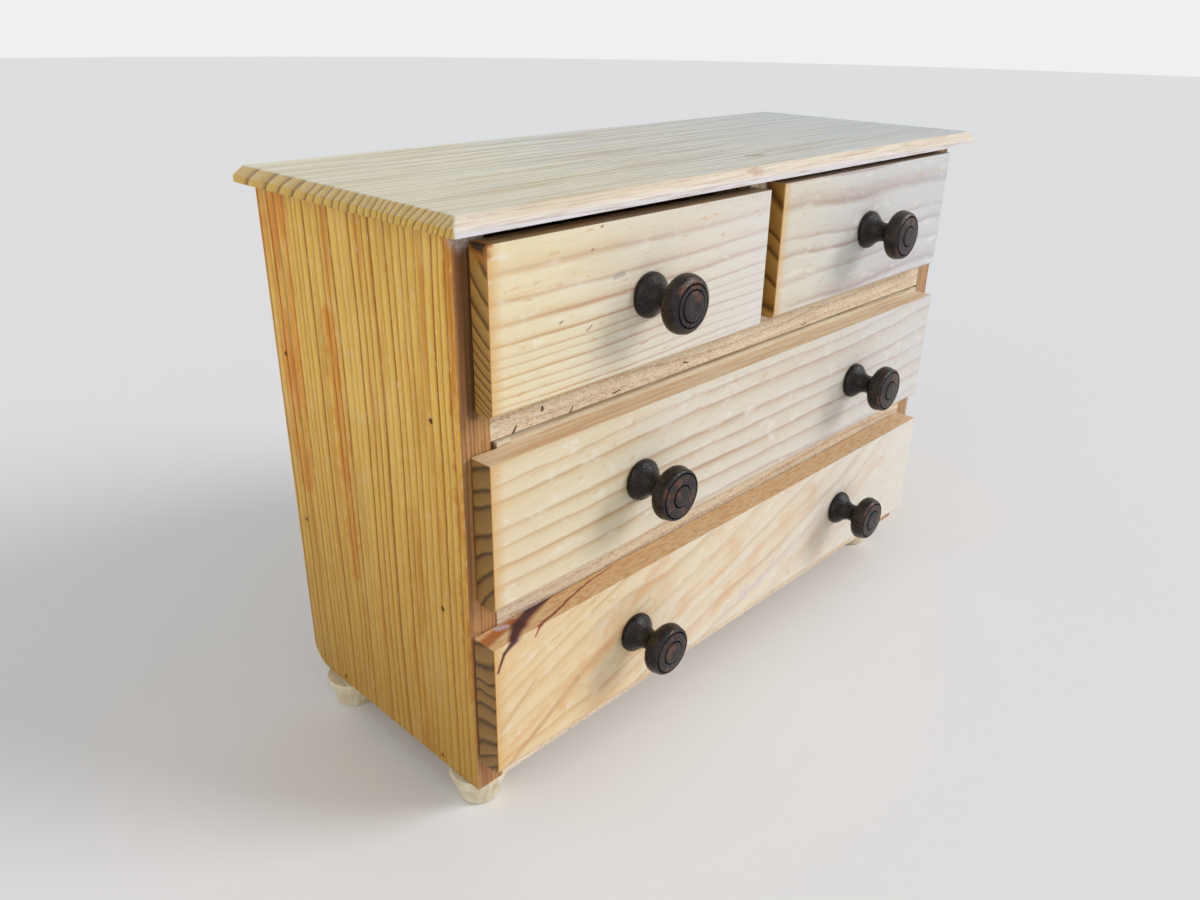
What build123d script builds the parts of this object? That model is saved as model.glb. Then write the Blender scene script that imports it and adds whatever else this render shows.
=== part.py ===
"""A handmade pine chest of four small drawers: two short ones over two long ones.

+X runs to the right along the front, +Y to the back and +Z up. The origin is on the table,
under the middle of the whole chest. Millimetres throughout.
"""
from build123d import *
from math import atan2, degrees
import os

# ---- driving dimensions of the carcass
CASE_WIDTH = 320.0
CASE_DEPTH = 118.0
CASE_HEIGHT = 217.0            # from the sides' lower edges to the underside of the top
BOARD = 12.5                   # thickness of sides, shelves, floor and divider
REAR_CORNER_R = 11.0           # rounding of the lower rear edge
ARRIS_R = 0.8                  # sanded arrises of the sides
SHELF_UNDERSIDES = {"lower_shelf": 70.5, "upper_shelf": 145.0}   # above the case's lower edge
DIVIDER_CENTRE = 155.2         # from the case's left face
BACK_INSET = 1.0
BACK_THICKNESS = 3.0
BACK_LOWER_EDGE = 6.5          # above the case's lower edge

# ---- top board
TOP_THICKNESS = 6.0
TOP_SIDE_OVERHANG = 6.75
TOP_FRONT_OVERHANG = 10.5
TOP_BACK_OVERHANG = 3.0
BEVEL_DROP = 3.6
BEVEL_RUN = 3.2
TOP_SOFTENING_R = 1.1          # sanded edges of the bevel and corners

# ---- turned feet
FOOT_HEIGHT = 14.2
FOOT_TOP_R = 11.6
FOOT_SOLE_R = 8.2
FOOT_SOLE_ROUND = 1.9
PEG_R = 2.6
PEG_LENGTH = 9.0
# centre of each foot, from the case's front left corner
FEET = {
    "foot_front_left": (9.3, 11.3),
    "foot_back_left": (6.6, 97.7),
    "foot_front_right": (300.0, 13.9),
    "foot_back_right": (303.0, 98.5),
}

# ---- drawers
FRONT_GAP = 1.0                # how far a closed front stands off the case
BOX_SIDE_CLEARANCE = 1.8
BOX_UNDER_CLEARANCE = 0.3
BOX_REAR_CLEARANCE = 1.0
BOX_WALL = 6.0
BOX_BOTTOM = 3.0
FRONT_UPPER_R = 3.0            # roundings of a front's long edges
FRONT_LOWER_R = 2.2
FRONT_BACK_UPPER_R = 0.8
FRONT_BACK_LOWER_R = 3.0
FRONT_END_R = 0.6
# Fronts are cut one by one: x and z run from the case's lower left corner.
# groove and button are the radii of the two rings turned on a knob's face.
DRAWERS = {
    "top_left": dict(bay="left", front_x=(5.6, 150.8), front_z=(157.3, 213.3), thickness=8.5,
                     box_top=210.5, knobs=[(79.1, 184.8)], groove=7.7, button=5.7),
    "top_right": dict(bay="right", front_x=(159.6, 303.0), front_z=(158.7, 214.6), thickness=8.5,
                      box_top=211.5, knobs=[(229.3, 187.0)], groove=8.6, button=4.4),
    "middle": dict(bay="middle", front_x=(3.1, 305.5), front_z=(85.4, 142.3), thickness=9.5,
                   box_top=144.2, knobs=[(77.3, 112.5), (232.0, 113.2)], groove=9.0, button=4.4),
    "bottom": dict(bay="floor", front_x=(0.7, 306.5), front_z=(15.2, 71.9), thickness=11.0,
                   box_top=69.6, knobs=[(75.2, 43.5), (231.0, 43.6)], groove=8.7, button=4.9),
}

# ---- knobs: each is one turning, held by a screw from inside the drawer
KNOB_BASE_R = 8.4
KNOB_NECK_R = 4.2
KNOB_HEAD_R = 10.8
KNOB_LENGTH = 20.9             # from the drawer front to the ring on the face
KNOB_BUTTON_RISE = 0.3
RING_GROOVE = 0.55             # depth and width of each turned groove
SCREW_R = 1.6
SCREW_HEAD_R = 3.3
SCREW_HEAD_HEIGHT = 2.0
SCREW_SLOT = 0.8
SCREW_IN_KNOB = 11.0
HOLE_EASE = 0.03               # radial room round pins and screws

# ---- pins
CASE_PIN_R = 0.75
CASE_PIN_HEAD_R = 1.05
CASE_PIN_HEAD = 1.2
CASE_PIN_LENGTH = 25.0
CASE_PIN_SUNK = 0.7            # heads are punched below the surface
SHELF_PIN_Y = (15.7, 110.3)    # from the case's front
FLOOR_PIN_Y = (22.0, 92.6)
FLOOR_PIN_Z = 3.6
BOX_PIN_R = 0.6
BOX_PIN_LENGTH = 16.0
BOX_PIN_SUNK = 0.2
BOX_PIN_FROM_EDGE = 11.0
BACK_PIN_R = 0.6
BACK_PIN_HEAD_R = 1.5
BACK_PIN_HEAD = 0.5
BACK_PIN_LENGTH = 12.0
BACK_PIN_X = (40.0, 160.0, 280.0)

# ---- the case's place in the part's frame
FRONT_REACH = (FRONT_GAP + max(d["thickness"] for d in DRAWERS.values())
               + KNOB_LENGTH + KNOB_BUTTON_RISE)
LEFT = -CASE_WIDTH / 2
RIGHT = CASE_WIDTH / 2
FRONT = (FRONT_REACH - CASE_DEPTH - TOP_BACK_OVERHANG) / 2
BACK = FRONT + CASE_DEPTH
BASE = FOOT_HEIGHT
UNDER_TOP = BASE + CASE_HEIGHT
INSIDE = (LEFT + BOARD, RIGHT - BOARD)
DIVIDER_X = (LEFT + DIVIDER_CENTRE - BOARD / 2, LEFT + DIVIDER_CENTRE + BOARD / 2)
BACK_PANEL_Y = (BACK - BACK_INSET - BACK_THICKNESS, BACK - BACK_INSET)
SHELF_Z = {name: (BASE + z, BASE + z + BOARD) for name, z in SHELF_UNDERSIDES.items()}
PIN_HEIGHTS = [sum(span) / 2 for span in SHELF_Z.values()]
BAYS = {
    "left": ((INSIDE[0], DIVIDER_X[0]), SHELF_Z["upper_shelf"][1]),
    "right": ((DIVIDER_X[1], INSIDE[1]), SHELF_Z["upper_shelf"][1]),
    "middle": (INSIDE, SHELF_Z["lower_shelf"][1]),
    "floor": (INSIDE, BASE + BOARD),
}

os.makedirs("parts", exist_ok=True)


def save(piece, name):
    """Label a finished piece and write it under its own name."""
    piece.part.label = name
    export_step(piece.part, f"parts/{name}.step")


def board(x, y, z):
    """Add a plain board between (low, high) faces along X, Y and Z."""
    with BuildSketch(Plane.XY.offset(z[0])) as outline:
        with Locations(((x[0] + x[1]) / 2, (y[0] + y[1]) / 2)):
            Rectangle(x[1] - x[0], y[1] - y[0])
    extrude(outline.sketch, amount=z[1] - z[0])


def rods(plane, spots, radius, length, mode=Mode.ADD):
    """Add or bore round rods of one length that start on a plane, at spots on it."""
    with BuildSketch(plane) as ends:
        with Locations(*spots):
            Circle(radius)
    extrude(ends.sketch, amount=length, mode=mode)


def case_pin_spots():
    """(y, z) of the pins in one side board."""
    spots = [(FRONT + y, z) for y in SHELF_PIN_Y for z in PIN_HEIGHTS]
    return spots + [(FRONT + y, BASE + FLOOR_PIN_Z) for y in FLOOR_PIN_Y]


def bore_shelf_ends(spots):
    """Bore both ends of a shelf or of the floor for the pins through the sides."""
    depth = CASE_PIN_SUNK + CASE_PIN_LENGTH - BOARD + HOLE_EASE
    radius = CASE_PIN_R + HOLE_EASE
    rods(Plane.YZ.offset(INSIDE[0]), spots, radius, depth, Mode.SUBTRACT)
    rods(Plane.YZ.offset(INSIDE[1]), spots, radius, -depth, Mode.SUBTRACT)


def bore_for_back_pins(height):
    """Bore a rear edge at the given height for the pins through the back panel."""
    spots = [(LEFT + x, height) for x in BACK_PIN_X]
    depth = BACK_PIN_LENGTH - BACK_THICKNESS + HOLE_EASE
    rods(Plane.XZ.offset(-BACK_PANEL_Y[0]), spots, BACK_PIN_R + HOLE_EASE, depth, Mode.SUBTRACT)


# ---- side boards: one plank each, lower rear corner rounded, bored for the pins and a foot's peg
def make_side(name, outer_x, inward):
    """Make a side board; inward is +1 for the left board and -1 for the right one."""
    with BuildPart() as side:
        with BuildSketch(Plane.YZ.offset(outer_x)) as profile:
            with Locations((FRONT, BASE)):
                Rectangle(CASE_DEPTH, CASE_HEIGHT, align=(Align.MIN, Align.MIN))
            rear_corner = profile.vertices().group_by(Axis.X)[-1].sort_by(Axis.Y)[0]
            fillet(rear_corner, radius=REAR_CORNER_R)
        extrude(amount=inward * BOARD)
        uprights = side.edges().filter_by(Axis.Z)
        fillet(uprights.group_by(Axis.X)[0 if inward > 0 else -1], radius=ARRIS_R)
        spots = case_pin_spots()
        outer = Plane.YZ.offset(outer_x)
        rods(outer, spots, CASE_PIN_R + HOLE_EASE, inward * BOARD, Mode.SUBTRACT)
        head_depth = CASE_PIN_SUNK + CASE_PIN_HEAD + HOLE_EASE
        rods(outer, spots, CASE_PIN_HEAD_R + HOLE_EASE, inward * head_depth, Mode.SUBTRACT)
        pegs = [(LEFT + x, FRONT + y) for x, y in FEET.values() if abs(LEFT + x - outer_x) < BOARD]
        if pegs:
            rods(Plane.XY.offset(BASE), pegs, PEG_R + HOLE_EASE, PEG_LENGTH + HOLE_EASE, Mode.SUBTRACT)
    save(side, name)


make_side("left_side", LEFT, 1)
make_side("right_side", RIGHT, -1)

# ---- shelves: full-depth boards that the drawers slide on
for shelf_name, shelf_z in SHELF_Z.items():
    with BuildPart() as shelf:
        board(INSIDE, (FRONT, BACK_PANEL_Y[0]), shelf_z)
        middle_z = sum(shelf_z) / 2
        bore_shelf_ends([(FRONT + y, middle_z) for y in SHELF_PIN_Y])
        bore_for_back_pins(middle_z)
    save(shelf, shelf_name)

# ---- floor: its lower rear edge follows the rounding of the sides
with BuildPart() as floor:
    with BuildSketch(Plane.YZ.offset(INSIDE[0])) as floor_profile:
        with Locations((FRONT, BASE)):
            Rectangle(CASE_DEPTH, BOARD, align=(Align.MIN, Align.MIN))
        lower_rear = floor_profile.vertices().group_by(Axis.X)[-1].sort_by(Axis.Y)[0]
        fillet(lower_rear, radius=REAR_CORNER_R)
        with Locations((BACK_PANEL_Y[0], BASE)):
            Rectangle(BACK - BACK_PANEL_Y[0], BOARD, align=(Align.MIN, Align.MIN), mode=Mode.SUBTRACT)
    extrude(amount=INSIDE[1] - INSIDE[0])
    bore_shelf_ends([(FRONT + y, BASE + FLOOR_PIN_Z) for y in FLOOR_PIN_Y])
    floor_back_pin_z = BASE + (BACK_LOWER_EDGE + BOARD) / 2
    bore_for_back_pins(floor_back_pin_z)
    floor_pegs = [(LEFT + x, FRONT + y) for x, y in FEET.values() if BOARD < x < CASE_WIDTH - BOARD]
    rods(Plane.XY.offset(BASE), floor_pegs, PEG_R + HOLE_EASE, PEG_LENGTH + HOLE_EASE, Mode.SUBTRACT)
save(floor, "floor_board")

# ---- divider between the two short drawers
with BuildPart() as divider:
    board(DIVIDER_X, (FRONT, BACK_PANEL_Y[0]), (SHELF_Z["upper_shelf"][1], UNDER_TOP))
save(divider, "centre_divider")

# ---- thin back panel, let in between the sides
with BuildPart() as back_panel:
    board(INSIDE, BACK_PANEL_Y, (BASE + BACK_LOWER_EDGE, UNDER_TOP))
    back_pin_spots = [(LEFT + x, z) for x in BACK_PIN_X for z in PIN_HEIGHTS + [floor_back_pin_z]]
    rods(Plane.XZ.offset(-BACK_PANEL_Y[1]), back_pin_spots, BACK_PIN_R + HOLE_EASE,
         BACK_THICKNESS, Mode.SUBTRACT)
save(back_panel, "back_panel")

# ---- top board: bevelled round its upper edge, every edge but the lowest sanded soft
with BuildPart() as top:
    with BuildSketch(Plane.XY.offset(UNDER_TOP)):
        with Locations((LEFT - TOP_SIDE_OVERHANG, FRONT - TOP_FRONT_OVERHANG)):
            Rectangle(CASE_WIDTH + 2 * TOP_SIDE_OVERHANG,
                      CASE_DEPTH + TOP_FRONT_OVERHANG + TOP_BACK_OVERHANG,
                      align=(Align.MIN, Align.MIN))
    extrude(amount=TOP_THICKNESS - BEVEL_DROP)
    bevel_angle = degrees(atan2(BEVEL_RUN, BEVEL_DROP))
    extrude(top.faces().sort_by(Axis.Z)[-1], amount=BEVEL_DROP, taper=bevel_angle)
    underside = top.edges().group_by(Axis.Z)[0]
    fillet(top.edges() - underside, radius=TOP_SOFTENING_R)
save(top, "top_board")

# ---- turned feet: tapered, rounded at the sole, with a peg on top
for foot_name, (foot_x, foot_y) in FEET.items():
    foot_axis = Axis((LEFT + foot_x, FRONT + foot_y, 0), (0, 0, 1))
    with BuildPart() as foot:
        with BuildSketch(Plane((LEFT + foot_x, FRONT + foot_y, 0), x_dir=(1, 0, 0), z_dir=(0, -1, 0))):
            with BuildLine():
                sole = Line((0, 0), (FOOT_SOLE_R - FOOT_SOLE_ROUND, 0))
                heel = JernArc(sole @ 1, (1, 0), FOOT_SOLE_ROUND, 78)
                flank = Spline(heel @ 1, (FOOT_SOLE_R + 1.3, 0.46 * FOOT_HEIGHT),
                               (FOOT_TOP_R, FOOT_HEIGHT - 1.4),
                               tangents=(heel % 1, (0.05, 1)))
                rim = Line(flank @ 1, (FOOT_TOP_R - 0.5, FOOT_HEIGHT))
                shoulder = Line(rim @ 1, (PEG_R, FOOT_HEIGHT))
                peg = Line(shoulder @ 1, (PEG_R, FOOT_HEIGHT + PEG_LENGTH))
                peg_end = Line(peg @ 1, (0, FOOT_HEIGHT + PEG_LENGTH))
                Line(peg_end @ 1, (0, 0))
            make_face()
        revolve(axis=foot_axis)
    save(foot, foot_name)

# ---- punched pins through the sides into shelves and floor
with BuildPart() as case_pins:
    for outer_x, inward in ((LEFT, 1), (RIGHT, -1)):
        head_plane = Plane.YZ.offset(outer_x + inward * CASE_PIN_SUNK)
        rods(head_plane, case_pin_spots(), CASE_PIN_HEAD_R, inward * CASE_PIN_HEAD)
        rods(head_plane, case_pin_spots(), CASE_PIN_R, inward * CASE_PIN_LENGTH)
save(case_pins, "case_pins")

# ---- flat-headed pins of the back panel
with BuildPart() as back_pins:
    rods(Plane.XZ.offset(-BACK_PANEL_Y[1]), back_pin_spots, BACK_PIN_R, BACK_PIN_LENGTH)
    rods(Plane.XZ.offset(-BACK_PANEL_Y[1]), back_pin_spots, BACK_PIN_HEAD_R, -BACK_PIN_HEAD)
save(back_pins, "back_pins")


# ---- drawers
def make_front(name, x, z, thickness, knob_spots):
    """The overlay front: a strip with rounded long edges, bored for the knob screws."""
    rear = FRONT - FRONT_GAP
    with BuildPart() as front:
        with BuildSketch(Plane.YZ.offset(x[0])) as profile:
            with Locations((rear, z[0])):
                Rectangle(thickness, z[1] - z[0], align=(Align.MAX, Align.MIN))
            corners = profile.vertices()
            front_low, front_high = corners.group_by(Axis.X)[0].sort_by(Axis.Y)
            back_low, back_high = corners.group_by(Axis.X)[-1].sort_by(Axis.Y)
            fillet(front_low, radius=FRONT_LOWER_R)
            fillet(front_high, radius=FRONT_UPPER_R)
            fillet(back_low, radius=FRONT_BACK_LOWER_R)
            fillet(back_high, radius=FRONT_BACK_UPPER_R)
        extrude(amount=x[1] - x[0])
        ends = front.faces().sort_by(Axis.X)
        fillet(ends[0].edges() + ends[-1].edges(), radius=FRONT_END_R)
        rods(Plane.XZ.offset(-rear), knob_spots, SCREW_R + HOLE_EASE, thickness, Mode.SUBTRACT)
    save(front, f"{name}_front")


def make_box(name, x, y, z, knob_spots):
    """The box behind a front: walls butted and pinned at the corners, on a thin bottom."""
    wall_z = (z[0] + BOX_BOTTOM, z[1])
    ends_x = (x[0] + BOX_WALL, x[1] - BOX_WALL)
    front_y = (y[0], y[0] + BOX_WALL)
    back_y = (y[1] - BOX_WALL, y[1])
    pin_spots = [(mid_y, pin_z)
                 for mid_y in (sum(front_y) / 2, sum(back_y) / 2)
                 for pin_z in (wall_z[0] + BOX_PIN_FROM_EDGE, wall_z[1] - BOX_PIN_FROM_EDGE)]
    into_ends = BOX_PIN_SUNK + BOX_PIN_LENGTH - BOX_WALL + HOLE_EASE
    hole_r = BOX_PIN_R + HOLE_EASE

    with BuildPart() as bottom:
        board(x, y, (z[0], z[0] + BOX_BOTTOM))
    save(bottom, f"{name}_box_bottom")

    for side_name, side_x in (("left", (x[0], ends_x[0])), ("right", (ends_x[1], x[1]))):
        with BuildPart() as wall:
            board(side_x, y, wall_z)
            rods(Plane.YZ.offset(side_x[0]), pin_spots, hole_r, BOX_WALL, Mode.SUBTRACT)
        save(wall, f"{name}_box_{side_name}")

    for end_name, end_y in (("front", front_y), ("back", back_y)):
        own_pins = [spot for spot in pin_spots if end_y[0] < spot[0] < end_y[1]]
        with BuildPart() as wall:
            board(ends_x, end_y, wall_z)
            rods(Plane.YZ.offset(ends_x[0]), own_pins, hole_r, into_ends, Mode.SUBTRACT)
            rods(Plane.YZ.offset(ends_x[1]), own_pins, hole_r, -into_ends, Mode.SUBTRACT)
            if end_name == "front":
                rods(Plane.XZ.offset(-end_y[1]), knob_spots, SCREW_R + HOLE_EASE, BOX_WALL,
                     Mode.SUBTRACT)
        save(wall, f"{name}_box_{end_name}")

    with BuildPart() as pins:
        rods(Plane.YZ.offset(x[0] + BOX_PIN_SUNK), pin_spots, BOX_PIN_R, BOX_PIN_LENGTH)
        rods(Plane.YZ.offset(x[1] - BOX_PIN_SUNK), pin_spots, BOX_PIN_R, -BOX_PIN_LENGTH)
    save(pins, f"{name}_box_pins")


def make_knob(node, spot, seat_y, groove, button):
    """One turned knob: flared base, waisted neck, round-edged head with two rings on its face."""
    centre = (spot[0], seat_y, spot[1])
    face = KNOB_LENGTH
    half = RING_GROOVE / 2
    with BuildPart() as knob:
        with BuildSketch(Plane(centre, x_dir=(1, 0, 0), z_dir=(0, 0, -1))):
            with BuildLine():
                seat = Line((0, 0), (KNOB_BASE_R - 0.5, 0))
                skirt = Polyline(seat @ 1, (KNOB_BASE_R, 0.5), (KNOB_BASE_R, 1.6))
                waist = Spline(skirt @ 1, (0.9 * KNOB_BASE_R, 3.1), (0.66 * KNOB_BASE_R, 5.2),
                               (KNOB_NECK_R, 9.0), (1.22 * KNOB_NECK_R, 11.6),
                               (0.82 * KNOB_HEAD_R, 13.6),
                               tangents=((-0.2, 1), (1, 0.5)))
                shoulder = Spline(waist @ 1, (KNOB_HEAD_R, 16.6), (0.96 * KNOB_HEAD_R, 18.7),
                                  (groove + half, face - 0.35),
                                  tangents=(waist % 1, (-1, 0.35)))
                rings = Polyline(shoulder @ 1, (groove, face - RING_GROOVE - 0.35),
                                 (groove - half, face - 0.2), (button + half, face),
                                 (button, face - RING_GROOVE),
                                 (button - half, face + 0.5 * KNOB_BUTTON_RISE))
                button_top = Spline(rings @ 1, (0, face + KNOB_BUTTON_RISE),
                                    tangents=((-1, 0.35), (-1, 0)))
                Line(button_top @ 1, (0, 0))
            make_face()
        revolve(axis=Axis(centre, (0, -1, 0)))
        rods(Plane.XZ.offset(-seat_y), [spot], SCREW_R + HOLE_EASE, SCREW_IN_KNOB + 0.5,
             Mode.SUBTRACT)
    save(knob, node)


def make_knob_screws(name, knob_spots, head_y, seat_y):
    """Slotted round-head screws, from inside the box through both fronts into the knobs."""
    with BuildPart() as screws:
        shank_length = head_y - seat_y + SCREW_IN_KNOB
        rods(Plane.XZ.offset(-head_y), knob_spots, SCREW_R, shank_length)
        rods(Plane.XZ.offset(-head_y), knob_spots, SCREW_HEAD_R, -SCREW_HEAD_HEIGHT)
        rims = screws.edges().filter_by(GeomType.CIRCLE).group_by(Axis.Y)[-1]
        fillet(rims, radius=0.8 * SCREW_HEAD_HEIGHT)
        with BuildSketch(Plane.XZ.offset(-head_y - SCREW_HEAD_HEIGHT)):
            with Locations(*knob_spots):
                Rectangle(2 * SCREW_HEAD_R, SCREW_SLOT, rotation=35)
        extrude(amount=0.5 * SCREW_HEAD_HEIGHT, mode=Mode.SUBTRACT)
    save(screws, f"{name}_knob_screws")


for drawer_name, drawer in DRAWERS.items():
    bay_x, bay_floor = BAYS[drawer["bay"]]
    knob_places = [(LEFT + knob_x, BASE + knob_z) for knob_x, knob_z in drawer["knobs"]]
    back_of_front = FRONT - FRONT_GAP
    knob_seat = back_of_front - drawer["thickness"]
    make_front(drawer_name, [LEFT + edge for edge in drawer["front_x"]],
               [BASE + edge for edge in drawer["front_z"]], drawer["thickness"], knob_places)
    make_box(drawer_name,
             (bay_x[0] + BOX_SIDE_CLEARANCE, bay_x[1] - BOX_SIDE_CLEARANCE),
             (back_of_front, BACK_PANEL_Y[0] - BOX_REAR_CLEARANCE),
             (bay_floor + BOX_UNDER_CLEARANCE, BASE + drawer["box_top"]), knob_places)
    if len(knob_places) == 1:
        knob_nodes = [f"{drawer_name}_knob"]
    else:
        knob_nodes = [f"{drawer_name}_knob_left", f"{drawer_name}_knob_right"]
    for knob_node, knob_place in zip(knob_nodes, knob_places):
        make_knob(knob_node, knob_place, knob_seat, drawer["groove"], drawer["button"])
    make_knob_screws(drawer_name, knob_places, back_of_front + BOX_WALL, knob_seat)
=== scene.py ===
import bpy
from math import pi, radians
from types import SimpleNamespace
from mathutils import Matrix, Vector


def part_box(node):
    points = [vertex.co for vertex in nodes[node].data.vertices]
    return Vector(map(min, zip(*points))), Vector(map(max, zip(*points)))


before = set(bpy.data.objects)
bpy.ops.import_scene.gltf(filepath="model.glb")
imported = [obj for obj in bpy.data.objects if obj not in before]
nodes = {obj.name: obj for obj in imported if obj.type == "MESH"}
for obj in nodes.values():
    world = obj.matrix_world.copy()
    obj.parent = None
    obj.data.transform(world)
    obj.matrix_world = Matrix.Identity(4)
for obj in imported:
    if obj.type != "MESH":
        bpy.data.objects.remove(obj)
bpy.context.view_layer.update()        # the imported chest: bodies, nodes, joints and record

# ---------------------------------------------------------------- left side board
# A plank of quarter-sawn pine on edge, its growth rings standing as straight dark lines.
# Oiled long ago, so it has gone golden, with orange resin streaks. Its front edge is a
# sawn edge, pinker and duller, and the upper end of that edge was left rough.
MM = 0.001
FRONT = (0.0, -1.0, 0.0)
UP = (0.0, 0.0, 1.0)


def linear(colour):
    """An sRGB hex colour as linear RGBA."""
    parts = [int(colour[i:i + 2], 16) / 255 for i in (1, 3, 5)]
    return [c / 12.92 if c <= 0.04045 else ((c + 0.055) / 1.055) ** 2.4 for c in parts] + [1.0]


def in_use(sockets, name):
    """The socket with this number, or the one in use with this name."""
    if isinstance(name, int):
        return sockets[name]
    return next(socket for socket in sockets if socket.enabled and socket.name == name)


def add(tree, kind, inputs=None, out=0, stops=(), **settings):
    """Add a node with its settings and links, and hand back one of its outputs.

    An input is a number, a vector, a hex colour or the socket that feeds it. It goes by its
    name, or by its number where a node's inputs share one name. stops are the (place, hex
    colour) pairs of a colour ramp, in rising order. With out=None the node is handed back.
    """
    made = tree.nodes.new("ShaderNode" + kind)
    for name, value in settings.items():
        setattr(made, name, value)
    for name, value in (inputs or {}).items():
        socket = in_use(made.inputs, name)
        if isinstance(value, bpy.types.NodeSocket):
            tree.links.new(value, socket)
        else:
            socket.default_value = linear(value) if isinstance(value, str) else value
    for count, (place, colour) in enumerate(stops):
        ramp = made.color_ramp.elements
        stop = ramp[count] if count < len(ramp) else ramp.new(place)
        stop.position = place
        stop.color = linear(colour)
    return made if out is None else in_use(made.outputs, out)


def corners(node_name):
    """A CAD node's lowest and highest corners, in mm."""
    return [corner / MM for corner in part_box(node_name)]


def fresh(name):
    """A new material, with its node tree and its one shader."""
    made = bpy.data.materials.new(name)
    made.use_nodes = True
    return made, made.node_tree, made.node_tree.nodes["Principled BSDF"]


def coat(node_name, material):
    """Give a CAD node its one material."""
    nodes[node_name].data.materials.clear()
    nodes[node_name].data.materials.append(material)


def patches(board, size, low, high, amount=1.0, shift=0.0, detail=3.0):
    """How thick soft patches lie on a board.

    size is a patch's (length, width, width) in mm, its length along the grain. The noise
    shows from low on and is full at high; shift moves it, so that no two layers are alike.
    """
    spread = add(board.tree, "VectorMath", {0: board.log, 1: [1 / s for s in size],
                                            2: (shift, shift * 0.7, shift * 1.3)},
                 operation="MULTIPLY_ADD")
    noise = add(board.tree, "TexNoise", {"Vector": spread, "Scale": 1.0, "Detail": detail,
                                         "Roughness": 0.55})
    return add(board.tree, "MapRange", {"Value": noise, "From Min": low, "From Max": high,
                                        "To Min": 0.0, "To Max": amount},
               interpolation_type="SMOOTHSTEP")


def facing(board, direction, low=0.6, high=0.9, both_ways=False):
    """How much a board's surface looks in a direction."""
    look = add(board.tree, "VectorMath", {0: board.normal, 1: direction}, out="Value",
               operation="DOT_PRODUCT")
    if both_ways:
        look = add(board.tree, "Math", {0: look}, operation="ABSOLUTE")
    return add(board.tree, "MapRange", {"Value": look, "From Min": low, "From Max": high})


def stain(board, amount, colour, how="MIX", only=None):
    """Lay one more colour on a board, as thick as amount says, and only where only says."""
    if only is not None:
        amount = add(board.tree, "Math", {0: amount, 1: only}, operation="MULTIPLY")
    board.colour = add(board.tree, "Mix", {"Factor": amount, "A": board.colour, "B": colour},
                       out="Result", data_type="RGBA", blend_type=how)
    board.tree.links.new(board.colour, board.shader.inputs["Base Color"])


def mottle(board, size, low, high, amount, shift, colour, only=None):
    """Lay a colour on a board in soft patches."""
    stain(board, patches(board, size, low, high, amount, shift), colour, only=only)


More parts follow.
